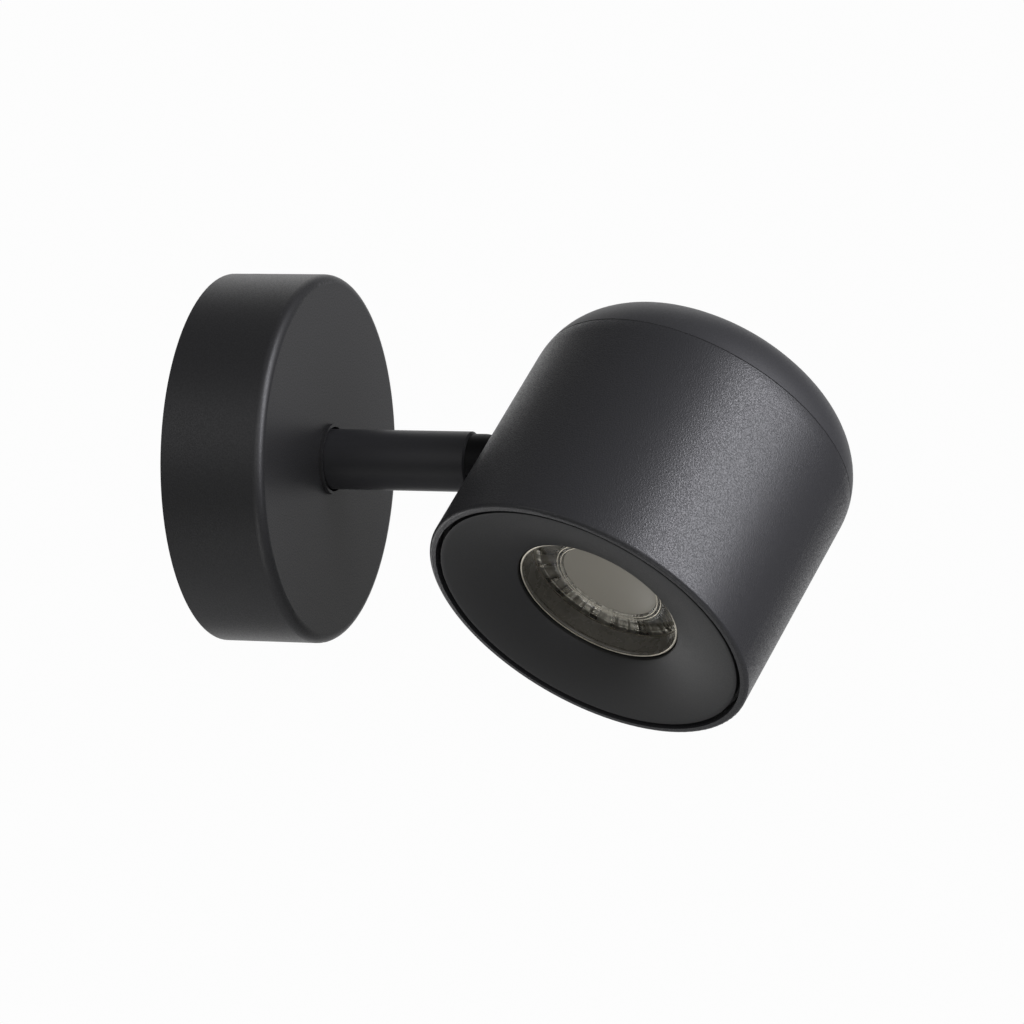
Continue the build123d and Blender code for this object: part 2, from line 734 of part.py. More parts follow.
with BuildPart() as head_housing:
    with BuildSketch(head_profile) as housing_outline:
        with BuildLine():
            Polyline(
                (seam_radius, seam_depth),
                (housing_inner, seam_depth),
                (housing_inner, 0),
                (housing_radius, 0),
                (housing_radius, housing_straight),
            )
            CenterArc(shoulder_centre, shoulder_radius, 0, seam_angle)
        make_face()
        lip_corners = housing_outline.vertices()
        fillet(lip_corners.sort_by_distance((housing_radius, 0))[0], housing_lip_fillet)
        fillet(lip_corners.sort_by_distance((housing_inner, 0))[0], housing_lip_inner_fillet)
        chamfer(lip_corners.sort_by_distance((seam_radius, seam_depth))[0], seam_break)
    revolve(axis=head_axis)
    with BuildSketch(head_plane.offset(web_depth)):
        Circle(housing_inner + housing_wall / 2)
        Circle(web_opening, mode=Mode.SUBTRACT)
        with Locations(*sink_screw_places):
            Circle(screw_radius + thread_clearance, mode=Mode.SUBTRACT)
    extrude(amount=web_thickness)
    with BuildSketch(stem_plane):
        Circle(stem_radius + stem_clearance)
    extrude(amount=saddle_seat, mode=Mode.SUBTRACT)
save(head_housing, "head_housing")

dome_angle = radians(shoulder_angle)
dome_radius = (shoulder_centre[0] + shoulder_radius * cos(dome_angle)) / cos(dome_angle)
dome_centre = (0, housing_straight - (dome_radius - shoulder_radius) * sin(dome_angle))
dome_sweep = 90 - shoulder_angle
cap_spigot_radius = housing_inner - cap_spigot_clearance
cap_spigot_inner = cap_spigot_radius - cap_spigot_thickness
cap_inner_shoulder = shoulder_radius - cap_wall
cap_inner_angle = degrees(acos((cap_spigot_inner - shoulder_centre[0]) / cap_inner_shoulder))
cap_inner_depth = housing_straight + cap_inner_shoulder * sin(radians(cap_inner_angle))
dome_top = dome_centre[1] + dome_radius

with BuildPart() as dome_cap:
    with BuildSketch(head_profile) as cap_outline:
        with BuildLine():
            CenterArc(shoulder_centre, shoulder_radius, seam_angle, shoulder_angle - seam_angle)
            CenterArc(dome_centre, dome_radius, shoulder_angle, dome_sweep)
            Line((0, dome_top), (0, dome_top - cap_wall))
            CenterArc(dome_centre, dome_radius - cap_wall, shoulder_angle, dome_sweep)
            CenterArc(shoulder_centre, cap_inner_shoulder, cap_inner_angle,
                      shoulder_angle - cap_inner_angle)
            Polyline(
                (cap_spigot_inner, cap_inner_depth),
                (cap_spigot_inner, seam_depth - cap_spigot_length),
                (cap_spigot_radius, seam_depth - cap_spigot_length),
                (cap_spigot_radius, seam_depth),
                (seam_radius, seam_depth),
            )
        make_face()
        cap_edge = cap_outline.vertices().sort_by_distance((seam_radius, seam_depth))[0]
        chamfer(cap_edge, seam_break)
    revolve(axis=head_axis)
save(dome_cap, "dome_cap")

# ---------------------------------------------------------------- front baffle and lens bezel
baffle_rim_radius = housing_inner - baffle_gap
baffle_skirt_radius = housing_inner - baffle_skirt_clearance
baffle_skirt_inner = baffle_skirt_radius - baffle_skirt_wall
aperture_depth = baffle_recess + baffle_dish
baffle_back_depth = aperture_depth + baffle_thickness
dish_tangent = (-cos(radians(baffle_rim_angle)), sin(radians(baffle_rim_angle)))

with BuildPart() as front_baffle:
    with BuildSketch(head_profile):
        with BuildLine():
            TangentArc((baffle_rim_radius, baffle_recess), (aperture_radius, aperture_depth),
                       tangent=dish_tangent)
            Line((aperture_radius, aperture_depth), (aperture_radius, baffle_back_depth))
            TangentArc((baffle_skirt_inner, baffle_recess + baffle_thickness),
                       (aperture_radius, baffle_back_depth), tangent=dish_tangent)
            Polyline(
                (baffle_skirt_inner, baffle_recess + baffle_thickness),
                (baffle_skirt_inner, baffle_skirt_depth),
                (baffle_skirt_radius, baffle_skirt_depth),
                (baffle_skirt_radius, baffle_recess + baffle_edge),
                (baffle_rim_radius, baffle_recess + baffle_edge),
                (baffle_rim_radius, baffle_recess),
            )
        make_face()
    revolve(axis=head_axis)
save(front_baffle, "front_baffle")

bezel_rim_outer = aperture_radius - bezel_gap
bezel_rim_inner = bezel_rim_outer - bezel_rim_width
bezel_rim_depth = aperture_depth + bezel_sunk
bezel_seat_radius = lens_radius + bezel_lens_play
bezel_seat_depth = lens_depth - bezel_lens_play
bezel_outer = bezel_seat_radius + bezel_wall
bezel_collar_depth = baffle_back_depth + bezel_collar_gap
bezel_flange_depth = sink_depth - bezel_flange_thickness
bezel_screw_places = around(bezel_screw_orbit, 3)

with BuildPart() as lens_bezel:
    with BuildSketch(head_profile):
        with BuildLine():
            Polyline(
                (bezel_rim_inner, bezel_rim_depth),
                (bezel_rim_outer, bezel_rim_depth),
                (bezel_rim_outer, bezel_collar_depth),
                (bezel_outer, bezel_collar_depth),
                (bezel_outer, bezel_flange_depth),
                (bezel_flange_radius, bezel_flange_depth),
                (bezel_flange_radius, sink_depth),
                (bezel_seat_radius, sink_depth),
                (bezel_seat_radius, bezel_seat_depth),
                (bezel_bottom_radius, bezel_seat_depth),
                close=True,
            )
        make_face()
    revolve(axis=head_axis)
    with BuildSketch(head_plane.offset(bezel_flange_depth)):
        with Locations(*bezel_screw_places):
            Circle(screw_radius + screw_hole_clearance)
    extrude(amount=bezel_flange_thickness, mode=Mode.SUBTRACT)
save(lens_bezel, "lens_bezel")

# ---------------------------------------------------------------- lens
holder_depth = sink_depth - holder_thickness
lens_flange_back = lens_depth + lens_flange_thickness
cavity_roof = holder_depth - lens_cavity_height

with BuildPart() as tir_lens:
    with BuildSketch(head_profile):
        with BuildLine():
            TangentArc((0, cavity_roof + lens_crown), (lens_cavity_radius, cavity_roof),
                       tangent=(1, 0))
            Polyline(
                (lens_cavity_radius, cavity_roof),
                (lens_mouth_radius, holder_depth),
                (lens_foot_radius, holder_depth),
            )
            SagittaArc((lens_foot_radius, holder_depth), (lens_cone_radius, lens_flange_back),
                       lens_cone_bulge)
            Polyline(
                (lens_cone_radius, lens_flange_back),
                (lens_radius, lens_flange_back),
                (lens_radius, lens_depth),
                (lens_pocket_radius, lens_depth),
                (lens_pocket_radius, lens_depth + lens_pocket_depth),
                (0, lens_depth + lens_pocket_depth),
                (0, cavity_roof + lens_crown),
            )
        make_face()
    revolve(axis=head_axis)
save(tir_lens, "tir_lens")

# ---------------------------------------------------------------- LED and its holder
led_back_depth = sink_depth - pad_film_thickness
led_front_depth = led_back_depth - led_thickness
recess_size = led_size + 2 * holder_clearance

with BuildPart() as led_cob:
    with BuildSketch(head_plane.offset(led_front_depth)):
        Rectangle(led_size, led_size)
    extrude(amount=led_thickness)
    with BuildSketch(head_plane.offset(led_front_depth)):
        Circle(led_glow_radius)
    extrude(amount=-led_glow_height)
save(led_cob, "led_cob")

with BuildPart() as thermal_pad:
    with BuildSketch(head_plane.offset(led_back_depth)):
        Rectangle(led_size, led_size)
    extrude(amount=pad_film_thickness)
save(thermal_pad, "thermal_pad")

holder_screw_places = around(holder_screw_orbit, 2)

with BuildPart() as cob_holder:
    with BuildSketch(head_plane.offset(holder_depth)):
        Circle(holder_radius)
        Circle(holder_window, mode=Mode.SUBTRACT)
        with Locations(*holder_screw_places):
            Circle(small_screw_radius + screw_hole_clearance, mode=Mode.SUBTRACT)
    extrude(amount=holder_thickness)
    with BuildSketch(head_plane.offset(led_front_depth - holder_clearance)):
        Rectangle(recess_size, recess_size)
    extrude(amount=holder_thickness, mode=Mode.SUBTRACT)
save(cob_holder, "cob_holder")

front_facing = Plane(origin=lip_centre, x_dir=tilted_plane.x_dir, z_dir=tilted_plane.y_dir)
sink_tip_depth = sink_depth + sink_base_thickness - screw_end

cob_screws = make_screws(
    front_facing.offset(-holder_depth), holder_screw_places, small_screw_radius,
    sink_tip_depth - holder_depth, small_screw_head_radius, small_screw_head_height,
    small_screw_socket, small_screw_socket_depth)
save(cob_screws, "cob_screws")

# around() gives points that are mirrored in this plane, which faces the other way
mirrored_bezel_places = [(x, -y) for x, y in bezel_screw_places]
bezel_screws = make_screws(
    front_facing.offset(-bezel_flange_depth), mirrored_bezel_places, screw_radius,
    sink_tip_depth - bezel_flange_depth, screw_head_radius, screw_head_height,
    screw_socket, screw_socket_depth)
save(bezel_screws, "bezel_screws")

# ---------------------------------------------------------------- heat sink
sink_fin_radius = web_opening - sink_fin_gap
sink_back_depth = sink_depth + sink_base_thickness
wire_hole_x = sink_fin_pitch / 2
wire_hole_orbit = (holder_radius + bezel_seat_radius) / 2

with BuildPart() as heat_sink:
    with BuildSketch(head_plane.offset(sink_back_depth - sink_fin_root)):
        with GridLocations(sink_fin_pitch, 0, sink_fin_count, 1):
            Rectangle(sink_fin_thickness, 2 * sink_fin_radius)
        Circle(sink_fin_radius, mode=Mode.INTERSECT)
    extrude(amount=sink_fin_height + sink_fin_root)
    with BuildSketch(head_plane.offset(sink_depth)):
        Circle(housing_inner - sink_clearance)
        with Locations(*sink_screw_places):
            Circle(screw_radius + screw_hole_clearance, mode=Mode.SUBTRACT)
        with Locations((wire_hole_x, sqrt(wire_hole_orbit**2 - wire_hole_x**2))):
            Circle(sink_wire_hole, mode=Mode.SUBTRACT)
    extrude(amount=sink_base_thickness)
    with BuildSketch(head_plane.offset(sink_depth)):
        with Locations(*bezel_screw_places):
            Circle(screw_radius + thread_clearance)
        with Locations(*holder_screw_places):
            Circle(small_screw_radius + thread_clearance)
    extrude(amount=sink_base_thickness - blind_hole_floor, mode=Mode.SUBTRACT)
save(heat_sink, "heat_sink")

mirrored_sink_places = [(x, -y) for x, y in sink_screw_places]
sink_screws = make_screws(
    front_facing.offset(-sink_depth), mirrored_sink_places, screw_radius,
    sink_base_thickness + web_thickness, screw_head_radius, screw_head_height,
    screw_socket, screw_socket_depth)
save(sink_screws, "sink_screws")
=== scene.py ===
import math

import bpy
from mathutils import Matrix, Vector


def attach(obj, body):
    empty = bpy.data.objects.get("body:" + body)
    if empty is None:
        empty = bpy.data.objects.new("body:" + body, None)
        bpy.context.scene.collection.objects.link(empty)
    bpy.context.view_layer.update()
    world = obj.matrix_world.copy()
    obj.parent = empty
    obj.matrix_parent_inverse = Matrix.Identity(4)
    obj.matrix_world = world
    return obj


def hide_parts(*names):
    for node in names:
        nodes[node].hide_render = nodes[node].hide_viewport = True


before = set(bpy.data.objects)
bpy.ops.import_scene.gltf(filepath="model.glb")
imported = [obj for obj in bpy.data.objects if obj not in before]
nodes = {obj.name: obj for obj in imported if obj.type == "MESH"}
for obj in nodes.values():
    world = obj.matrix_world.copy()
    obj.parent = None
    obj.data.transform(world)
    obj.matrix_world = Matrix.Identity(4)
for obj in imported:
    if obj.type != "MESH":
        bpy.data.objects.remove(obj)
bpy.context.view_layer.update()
print("frame loaded:", len(nodes), "nodes")

mm = 0.001

# The head at rest. Depths run back from its front lip along its own axis (mm, degrees).
head = {"swivel": 41.9, "tilt": 14.1, "pivotReach": 72.5, "axisOffset": 49.85, "lipDepth": 40.2}
swivel, tilt = math.radians(head["swivel"]), math.radians(head["tilt"])
outwards = Vector((0, -1, 0))
pin = Vector((math.cos(swivel), 0, -math.sin(swivel)))
across = pin.cross(outwards)
toHead = outwards * math.cos(tilt) + across * math.sin(tilt)
toLens = across * math.cos(tilt) - outwards * math.sin(tilt)
lipCentre = (outwards * head["pivotReach"] + toHead * head["axisOffset"]
             + toLens * head["lipDepth"]) * mm
headPlace = Matrix.Translation(lipCentre) @ Matrix((toHead, pin, -toLens)).transposed().to_4x4()


def linear(hexColour):
    # sRGB hex to Blender's linear RGBA
    channels = [int(hexColour[i:i + 2], 16) / 255 for i in (1, 3, 5)]
    curve = [c / 12.92 if c <= 0.04045 else ((c + 0.055) / 1.055) ** 2.4 for c in channels]
    return (*curve, 1.0)


def addNode(tree, kind, settings=None, inputs=None):
    node = tree.nodes.new(kind)
    for name, value in (settings or {}).items():
        setattr(node, name, value)
    for name, value in (inputs or {}).items():
        if isinstance(value, bpy.types.NodeSocket):
            tree.links.new(value, node.inputs[name])
        else:
            node.inputs[name].default_value = value
    return node


def newMaterial(name):
    material = bpy.data.materials.new(name)
    material.use_nodes = True
    tree = material.node_tree
    tree.nodes.clear()
    return material, tree


def finishMaterial(tree, shader):
    addNode(tree, "ShaderNodeOutputMaterial", inputs={"Surface": shader.outputs[0]})


# Polyester powder coat baked on metal: a dry skin with a fine pebble, so that a light on it
# spreads wide and breaks into grains. The pebble is about 0.2 mm on the real one and is drawn
# at about 0.4 mm, so that it shows.
pebbleNoise = {"detail": 1.0, "low": 0.35, "high": 0.65}


def powderCoat(name, coat):
    material, tree = newMaterial(name)
    place = addNode(tree, "ShaderNodeTexCoord").outputs["Object"]
    pebble = addNode(tree, "ShaderNodeTexNoise", inputs={
        "Vector": place, "Scale": 1 / (coat["pebble"] * mm), "Detail": pebbleNoise["detail"]})
    tint = addNode(tree, "ShaderNodeMapRange", inputs={
        "Value": pebble.outputs["Fac"], "From Min": pebbleNoise["low"],
        "From Max": pebbleNoise["high"]})
    colour = addNode(tree, "ShaderNodeMix", {"data_type": "RGBA"}, {
        "Factor": tint.outputs["Result"], 6: linear(coat["dark"]), 7: linear(coat["light"])})
    rough = addNode(tree, "ShaderNodeMapRange", inputs={
        "Value": pebble.outputs["Fac"], "From Min": pebbleNoise["low"],
        "From Max": pebbleNoise["high"], "To Min": coat["roughness"] + coat["spread"],
        "To Max": coat["roughness"] - coat["spread"]})
    bump = addNode(tree, "ShaderNodeBump", inputs={
        "Height": pebble.outputs["Fac"], "Strength": coat["bump"], "Distance": coat["relief"] * mm})
    skin = addNode(tree, "ShaderNodeBsdfPrincipled", inputs={
        "Base Color": colour.outputs[2], "Roughness": rough.outputs["Result"],
        "Normal": bump.outputs["Normal"]})
    finishMaterial(tree, skin)
    return material


# Plain metal and plastic share one build: a colour with a fine grain in tint, gloss and relief.
grainNoise = {"detail": 3.0, "low": 0.3, "high": 0.7, "glossSpread": 0.15, "bump": 0.15}


def plainFinish(name, finish):
    material, tree = newMaterial(name)
    place = addNode(tree, "ShaderNodeTexCoord").outputs["Object"]
    grain = addNode(tree, "ShaderNodeTexNoise", inputs={
        "Vector": place, "Scale": 1 / (finish["grain"] * mm), "Detail": grainNoise["detail"]})
    tint = addNode(tree, "ShaderNodeMix", {"data_type": "RGBA"}, {
        "Factor": grain.outputs["Fac"], 6: linear(finish["dark"]), 7: linear(finish["light"])})
    rough = addNode(tree, "ShaderNodeMapRange", inputs={
        "Value": grain.outputs["Fac"], "From Min": grainNoise["low"],
        "From Max": grainNoise["high"],
        "To Min": finish["roughness"] * (1 - grainNoise["glossSpread"]),
        "To Max": finish["roughness"] * (1 + grainNoise["glossSpread"])})
    bump = addNode(tree, "ShaderNodeBump", inputs={
        "Height": grain.outputs["Fac"], "Strength": grainNoise["bump"],
        "Distance": finish["relief"] * mm})
    surface = addNode(tree, "ShaderNodeBsdfPrincipled", inputs={
        "Base Color": tint.outputs[2], "Roughness": rough.outputs["Result"],
        "Normal": bump.outputs["Normal"], "Metallic": finish.get("metallic", 0.0),
        "Specular IOR Level": finish.get("specular", 0.5)})
    finishMaterial(tree, surface)
    return material


# Sizes of pebble, grain and relief are in mm.
coats = {
    # the canopy: fine and even
    "canopy": {"dark": "#212122", "light": "#29292a", "pebble": 0.4, "roughness": 0.44,
               "spread": 0.05, "bump": 0.5, "relief": 0.05},
    # the drum of the head: its pebble stands out in the light
    "head": {"dark": "#29292b", "light": "#313133", "pebble": 0.38, "roughness": 0.42,
             "spread": 0.12, "bump": 1.0, "relief": 0.07},
    # the dome: a little paler, smoother and duller than the drum
    "dome": {"dark": "#2d2d2f", "light": "#343436", "pebble": 0.4, "roughness": 0.5,
             "spread": 0.02, "bump": 0.25, "relief": 0.03},
}
finishes = {
    # satin black lacquer on the turned tube: smooth, with a soft edge to its highlights
    "satinLacquer": {"dark": "#2c2c2e", "light": "#343436", "grain": 0.2, "roughness": 0.42,
                     "relief": 0.01, "specular": 0.3},
    # black anodised knuckle: dull and nearly without highlights
    "blackAnodised": {"dark": "#0b0b0c", "light": "#121213", "grain": 0.2, "roughness": 0.5,
                      "relief": 0.02, "specular": 0.15},
    # anti-glare black of the front plate: an even, very dull skin
    "antiGlareBlack": {"dark": "#191919", "light": "#212121", "grain": 0.25, "roughness": 0.5,
                       "relief": 0.02, "specular": 0.4},
    # moulded smoked polycarbonate of the well: glossy, with a faintly warm depth
    "smokedPolycarbonate": {"dark": "#625f59", "light": "#6a675f", "grain": 3.0,
                            "roughness": 0.28, "relief": 0.002, "specular": 0.6},
    # a warm silver: the metallised rim at the top of the well, and painted highlights on the lines
    # round the optic, which stand in for glints on the clear acrylic's edges
    "silverRimAndPaintedHighlight": {"dark": "#dcd6c6", "light": "#ece6d6", "grain": 0.8, "roughness": 0.4,
                       "relief": 0.002, "metallic": 1.0},
    # frosted acrylic of the disc: milky and warm, with a wide soft sheen
    "frostedAcrylic": {"dark": "#99958a", "light": "#a6a194", "grain": 0.3, "roughness": 0.4,
                       "relief": 0.01},
    # bright zinc on turned and pressed steel: a soft grey shine
    "zincSteel": {"dark": "#8b8d8f", "light": "#a3a5a7", "grain": 0.5, "roughness": 0.35,
                  "relief": 0.01, "metallic": 1.0},
    # hot-dip galvanised sheet: paler, with broad patches of tint
    "galvanisedSheet": {"dark": "#9a9c9a", "light": "#b4b6b2", "grain": 1.2, "roughness": 0.38,
                        "relief": 0.01, "metallic": 1.0},
    # die-cast aluminium: dull grey with a fine cast skin
    "castAluminium": {"dark": "#85878a", "light": "#9c9ea1", "grain": 0.4, "roughness": 0.45,
                      "relief": 0.03, "metallic": 1.0},
    # turned brass of the terminal and earth screws: yellow and smooth
    "brass": {"dark": "#b08a3c", "light": "#c9a458", "grain": 0.5, "roughness": 0.3,
              "relief": 0.01, "metallic": 1.0},
    # moulded black nylon: dull, off-black
    "blackNylon": {"dark": "#161616", "light": "#202020", "grain": 0.3, "roughness": 0.5,
                   "relief": 0.01},
    # moulded white polyamide of the terminal block: slightly warm
    "whitePlastic": {"dark": "#dcdcd6", "light": "#e8e8e3", "grain": 0.6, "roughness": 0.4,
                     "relief": 0.01},
    # moulded pale grey case of the driver: dry, with a spark-eroded skin
    "greyPlastic": {"dark": "#c4c5c6", "light": "#d2d3d4", "grain": 0.8, "roughness": 0.5,
                    "relief": 0.02},
    # moulded black rubber: nearly without shine
    "blackRubber": {"dark": "#131313", "light": "#1d1d1d", "grain": 0.5, "roughness": 0.75,
                    "relief": 0.03},
    # filled silicone sheet under the LED: matt grey
    "thermalFilm": {"dark": "#8a8d91", "light": "#9a9da1", "grain": 0.3, "roughness": 0.7,
                    "relief": 0.02},
    # silicone with phosphor over the LED: an opaque yellow
    "phosphor": {"dark": "#d8c050", "light": "#e6d06a", "grain": 0.2, "roughness": 0.5,
                 "relief": 0.01},
}


# Moulded clear acrylic, with the polish of the tool and a faint flow in the thickness (mm).
acrylic = {"colour": "#f4f3ee", "roughness": 0.04, "ior": 1.49, "flow": 3.0, "detail": 2.0,
           "bump": 0.2, "relief": 0.1}


def clearAcrylic(name):
    material, tree = newMaterial(name)
    place = addNode(tree, "ShaderNodeTexCoord").outputs["Object"]
    flow = addNode(tree, "ShaderNodeTexNoise", inputs={
        "Vector": place, "Scale": 1 / (acrylic["flow"] * mm), "Detail": acrylic["detail"]})
    bump = addNode(tree, "ShaderNodeBump", inputs={
        "Height": flow.outputs["Fac"], "Strength": acrylic["bump"],
        "Distance": acrylic["relief"] * mm})
    surface = addNode(tree, "ShaderNodeBsdfPrincipled", inputs={
        "Base Color": linear(acrylic["colour"]), "Roughness": acrylic["roughness"],
        "IOR": acrylic["ior"], "Transmission Weight": 1.0, "Normal": bump.outputs["Normal"]})
    finishMaterial(tree, surface)
    return material


# Metallised back of the optic: a mirror with ribs that run down the cone, which break the light
# in it into streaks. ribs is about how many stand on a radian, and relief their height in mm.
mirror = {"colour": "#e6e3da", "ribs": 4.0, "detail": 2.0, "low": 0.3, "high": 0.7,
          "roughness": 0.3, "glossSpread": 0.5, "relief": 1.0}


def ribbedMirror(name):
    material, tree = newMaterial(name)
    place = addNode(tree, "ShaderNodeTexCoord").outputs["Object"]
    inHead = addNode(tree, "ShaderNodeMapping", {"vector_type": "TEXTURE"}, {
        "Vector": place, "Location": lipCentre, "Rotation": headPlace.to_euler()})
    spot = addNode(tree, "ShaderNodeSeparateXYZ", inputs={"Vector": inHead.outputs["Vector"]})
    angle = addNode(tree, "ShaderNodeMath", {"operation": "ARCTAN2"}, {
        0: spot.outputs["Y"], 1: spot.outputs["X"]})
    ribs = addNode(tree, "ShaderNodeTexNoise", {"noise_dimensions": "1D"}, {
        "W": angle.outputs[0], "Scale": mirror["ribs"], "Detail": mirror["detail"]})
    rough = addNode(tree, "ShaderNodeMapRange", inputs={
        "Value": ribs.outputs["Fac"], "From Min": mirror["low"], "From Max": mirror["high"],
        "To Min": mirror["roughness"] * (1 - mirror["glossSpread"]),
        "To Max": mirror["roughness"] * (1 + mirror["glossSpread"])})
    bump = addNode(tree, "ShaderNodeBump", inputs={
        "Height": ribs.outputs["Fac"], "Strength": 1.0, "Distance": mirror["relief"] * mm})
    surface = addNode(tree, "ShaderNodeBsdfPrincipled", inputs={
        "Base Color": linear(mirror["colour"]), "Roughness": rough.outputs["Result"],
        "Metallic": 1.0, "Normal": bump.outputs["Normal"]})
    finishMaterial(tree, surface)
    return material


materials = {name: plainFinish(name, finish) for name, finish in finishes.items()}
materials["ribbedMirror"] = ribbedMirror("ribbedMirror")
materials["canopyCoat"] = powderCoat("canopyPowderCoat", coats["canopy"])
materials["headCoat"] = powderCoat("headPowderCoat", coats["head"])
materials["domeCoat"] = powderCoat("domePowderCoat", coats["dome"])
materials["clearAcrylic"] = clearAcrylic("clearAcrylic")

dressed = {
    "canopy": "canopyCoat", "head_housing": "headCoat", "dome_cap": "domeCoat",
    "arm_tube": "satinLacquer", "knuckle_fork": "blackAnodised", "head_tongue": "blackAnodised",
    "wall_bracket": "galvanisedSheet", "bearing_block": "castAluminium",
    "stem_saddle": "castAluminium", "heat_sink": "castAluminium", "terminal_screws": "brass",
    "earth_screw": "brass", "thrust_washer": "blackNylon", "friction_washer": "blackNylon",
    "knuckle_pads": "blackNylon", "cob_holder": "blackNylon", "terminal_block": "whitePlastic",
    "led_driver": "greyPlastic", "cable_grommet": "blackRubber", "thermal_pad": "thermalFilm",
    "led_cob": "phosphor",
}
for name, node in nodes.items():
    node.data.materials.clear()
    node.data.materials.append(materials[dressed.get(name, "zincSteel")])
print("materials made:", len(materials))

# How the turned pieces are made: sides to a circle, merging distance in mm, and for the rounded
# edges the least angle, the segments and the angle up to which faces are shaded smooth (degrees).
turning = {"around": 160, "merge": 0.001, "sharp": 25, "segments": 3, "smooth": 35}


def turned(name, rings, edge):
    # A circle, extruded and scaled from each radius and depth to the next. The piece is set on
    # the head's axis and its sharp edges are rounded.
    bpy.ops.object.select_all(action="DESELECT")
    radius, depth = rings[0]
    bpy.ops.mesh.primitive_circle_add(vertices=turning["around"], radius=radius * mm,
                                      location=(0, 0, depth * mm))
    piece = bpy.context.object
    piece.name = name
    piece.data.name = name
    bpy.ops.object.mode_set(mode="EDIT")
    bpy.ops.mesh.select_all(action="SELECT")
    for nextRadius, nextDepth in rings[1:]:
        bpy.ops.mesh.extrude_edges_move(
            TRANSFORM_OT_translate={"value": (0, 0, (nextDepth - depth) * mm)})
        growth = nextRadius / radius
        bpy.ops.transform.resize(value=(growth, growth, 1))
        radius, depth = nextRadius, nextDepth
    bpy.ops.mesh.select_all(action="SELECT")
    bpy.ops.mesh.remove_doubles(threshold=turning["merge"] * mm)
    bpy.ops.mesh.select_all(action="DESELECT")
    bpy.ops.mesh.select_non_manifold()
    bpy.ops.mesh.fill_holes(sides=0)
    bpy.ops.mesh.select_all(action="SELECT")
    bpy.ops.mesh.normals_make_consistent(inside=False)
    bpy.ops.object.mode_set(mode="OBJECT")
    bpy.ops.object.transform_apply(location=True)
    piece.matrix_world = headPlace
    bpy.ops.object.transform_apply(location=True, rotation=True)
    rounding = piece.modifiers.new("edges", "BEVEL")
    rounding.limit_method = "ANGLE"
    rounding.angle_limit = math.radians(turning["sharp"])
    rounding.width = edge * mm
    rounding.segments = turning["segments"]
    bpy.ops.object.modifier_apply(modifier="edges")
    bpy.ops.object.shade_smooth_by_angle(angle=math.radians(turning["smooth"]))
    return piece


def paint(piece, names, choose=None):
    # choose takes a face's radius and depth in mm and returns the material's number
    for name in names:
        piece.data.materials.append(materials[name])
    if choose:
        inHead = headPlace.inverted()
        for face in piece.data.polygons:
            spot = inHead @ face.center
            face.material_index = choose(math.hypot(spot.x, spot.y) / mm, spot.z / mm)


def arcBetween(start, end, slope, count):
    # points on the round arc from start to end, both (radius, depth), that leaves start
    # towards the axis at this slope in degrees
    along = Vector((-math.cos(math.radians(slope)), math.sin(math.radians(slope))))
    side = Vector((along.y, -along.x))
    chord = Vector(end) - Vector(start)
    if side.dot(chord) < 0:
        side = -side
    bend = chord.length_squared / (2 * side.dot(chord))
    sweep = 2 * math.asin(chord.length / (2 * bend))
    points = []
    for i in range(count + 1):
        angle = sweep * i / count
        point = (Vector(start) + along * bend * math.sin(angle)
                 + side * bend * (1 - math.cos(angle)))
        points.append((point.x, point.y))
    return points


# Radii and depths of the three turned pieces are in mm, and depths run back from the lip.
baffle = {"rim": 41.8, "rimDepth": 0.45, "aperture": 22.6, "apertureDepth": 6.2, "slope": 8,
          "thickness": 2.0, "skirt": 42.9, "skirtInner": 40.9, "skirtStart": 3.45,
          "skirtEnd": 9.0, "edge": 0.18, "steps": 16}
front = arcBetween((baffle["rim"], baffle["rimDepth"]),
                   (baffle["aperture"], baffle["apertureDepth"]), baffle["slope"], baffle["steps"])
behind = arcBetween((baffle["skirtInner"], baffle["rimDepth"] + baffle["thickness"]),
                    (baffle["aperture"], baffle["apertureDepth"] + baffle["thickness"]),
                    baffle["slope"], baffle["steps"])
frontBaffle = turned("frontBaffle", front + behind[::-1] + [
    (baffle["skirtInner"], baffle["skirtEnd"]),
    (baffle["skirt"], baffle["skirtEnd"]),
    (baffle["skirt"], baffle["skirtStart"]),
    (baffle["rim"], baffle["skirtStart"]),
    front[0],
], baffle["edge"])
paint(frontBaffle, ["antiGlareBlack"])
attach(frontBaffle, "head")
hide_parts("front_baffle")

bezel = {"rimOuter": 22.2, "rimInner": 21.7, "rimDepth": 6.9, "groove": 0.35,
         "undercut": 0.1, "brightDepth": 0.2, "bead": 21.6, "beadDepth": 8.4,
         "wallTop": 21.9, "wallBottom": 21.2, "seatDepth": 12.7, "seat": 22.5,
         "collar": 24.6, "collarDepth": 8.6, "flange": 30.9, "flangeDepth": 22.4,
         "backDepth": 25.0, "edge": 0.1}
lensBezel = turned("lensBezel", [
    (bezel["rimOuter"], bezel["rimDepth"]),
    (bezel["rimInner"], bezel["rimDepth"]),
    (bezel["rimInner"] + bezel["undercut"], bezel["rimDepth"] + bezel["groove"]),
    (bezel["bead"], bezel["rimDepth"] + 2 * bezel["groove"]),
    (bezel["bead"], bezel["beadDepth"] - bezel["groove"]),
    (bezel["wallTop"], bezel["beadDepth"]),
    (bezel["wallBottom"], bezel["seatDepth"]),
    (bezel["seat"], bezel["seatDepth"]),
    (bezel["seat"], bezel["backDepth"]),
    (bezel["flange"], bezel["backDepth"]),
    (bezel["flange"], bezel["flangeDepth"]),
    (bezel["collar"], bezel["flangeDepth"]),
    (bezel["collar"], bezel["collarDepth"]),
    (bezel["rimOuter"], bezel["collarDepth"]),
    (bezel["rimOuter"], bezel["rimDepth"]),
], bezel["edge"])
# the rim at the top of the well gets the warm silver of its metallised edge
paint(lensBezel, ["smokedPolycarbonate", "silverRimAndPaintedHighlight"],
      lambda radius, depth: 1 if depth < bezel["rimDepth"] + bezel["brightDepth"] else 0)
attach(lensBezel, "head")
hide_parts("lens_bezel")

